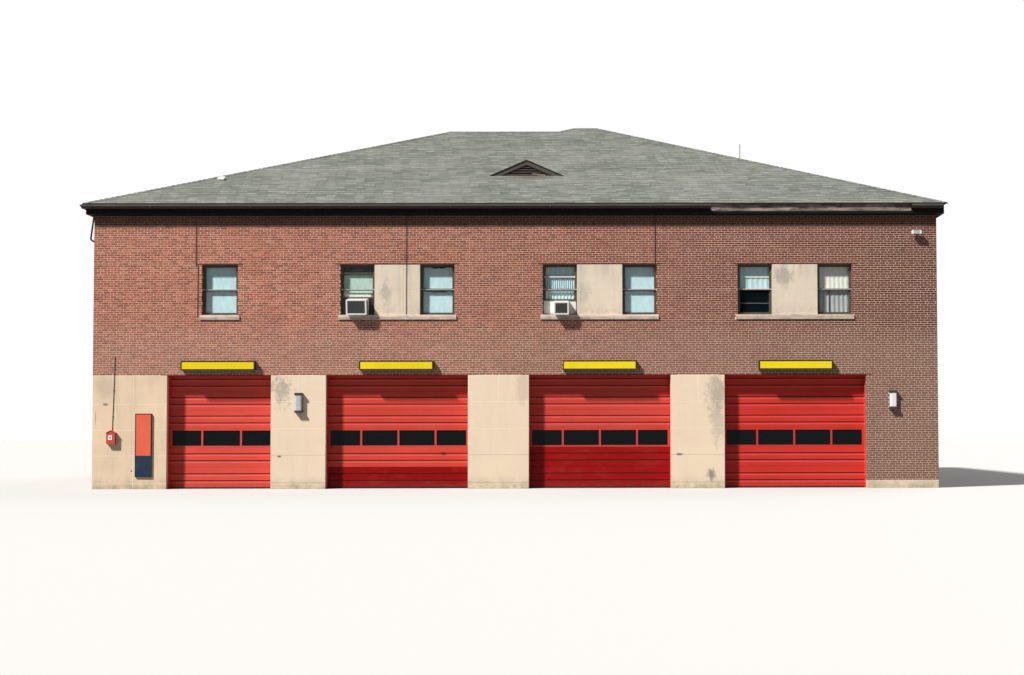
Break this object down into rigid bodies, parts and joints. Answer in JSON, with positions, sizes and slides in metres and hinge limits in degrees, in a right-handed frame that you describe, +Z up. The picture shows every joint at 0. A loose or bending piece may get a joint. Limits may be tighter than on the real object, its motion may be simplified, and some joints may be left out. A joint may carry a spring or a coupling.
{
  "type": "two storey fire station building",
  "caption": "Brick fire station with stone piers, wide sectional doors, paired upper windows and a hipped roof.",
  "frame": {"origin": "on the ground, in the middle of the eaves", "axes": "+X to the right seen from the street, +Y to the back, +Z up"},
  "size_m": [26.542, 21.66, 13.2186],
  "materials": {
    "brick": "common red brick, pale mortar joints, three courses to 203 mm",
    "limestone": "smooth buff limestone and cast stone, rain stained",
    "concrete": "plain floated concrete",
    "timber": "joists under boards",
    "door_red": "red enamel on ribbed steel, satin",
    "door_glass": "clear, the hall behind it dark",
    "seal_rubber": "black",
    "window_bronze": "dark bronze, satin",
    "window_glass": "clear",
    "lintel_steel": "rusty steel angle",
    "shingle": "grey green mineral shingles",
    "cornice_brown": "brown metal, weathered bare in a stretch",
    "gutter_brown": "brown metal, faded",
    "louvre_brown": "brown painted boards",
    "downpipe_grey": "grey brown metal",
    "sign_yellow": "yellow face in a black frame, bare",
    "light_bronze": "dark bronze case",
    "light_lens": "white ribbed lens, rounded at the edges",
    "call_box_red": "red enamel",
    "board_print": "orange red over navy, bare, in a dark frame",
    "fitting_white": "white enamel"
  },
  "bodies": {
    "root": {"front_wall": "brick", "left_wall": "brick", "right_wall": "brick", "back_wall": "brick", "back_left_wall": "brick", "back_step_wall": "brick", "brick_pier": "brick", "stone_pier_1": "limestone", "stone_pier_2": "limestone", "stone_pier_3": "limestone", "stone_pier_4": "limestone", "stone_base": "limestone", "window_sills": "limestone", "window_panels": "limestone", "ground_floor": "concrete", "upper_floor": "concrete", "attic_floor": "timber", "door_1": "door_red", "door_2": "door_red", "door_3": "door_red", "door_4": "door_red", "door_linings": "door_red", "door_panes": "door_glass", "door_seals": "seal_rubber", "window_frames": "window_bronze", "window_panes": "window_glass", "window_lintels": "lintel_steel", "door_lintels": "lintel_steel", "roof_front": "shingle", "roof_right": "shingle", "roof_left": "shingle", "roof_back": "shingle", "roof_back_left": "shingle", "roof_step": "shingle", "gablet_hood": "shingle", "cornice_front": "cornice_brown", "cornice_left": "cornice_brown", "cornice_right": "cornice_brown", "cornice_back": "cornice_brown", "gutter_front": "gutter_brown", "gutter_left": "gutter_brown", "gutter_right": "gutter_brown", "gutter_back": "gutter_brown", "gablet_louvre": "louvre_brown", "downpipe": "downpipe_grey", "sign_boxes": "sign_yellow", "wall_lights": "light_bronze", "light_lenses": "light_lens", "call_box": "call_box_red", "notice_board": "board_print", "floodlight": "fitting_white", "air_conditioner_1": "fitting_white", "air_conditioner_2": "fitting_white", "cooler_panels": "fitting_white", "roof_stack": "fitting_white", "roof_vent": "fitting_white"}
  },
  "joints": []
}
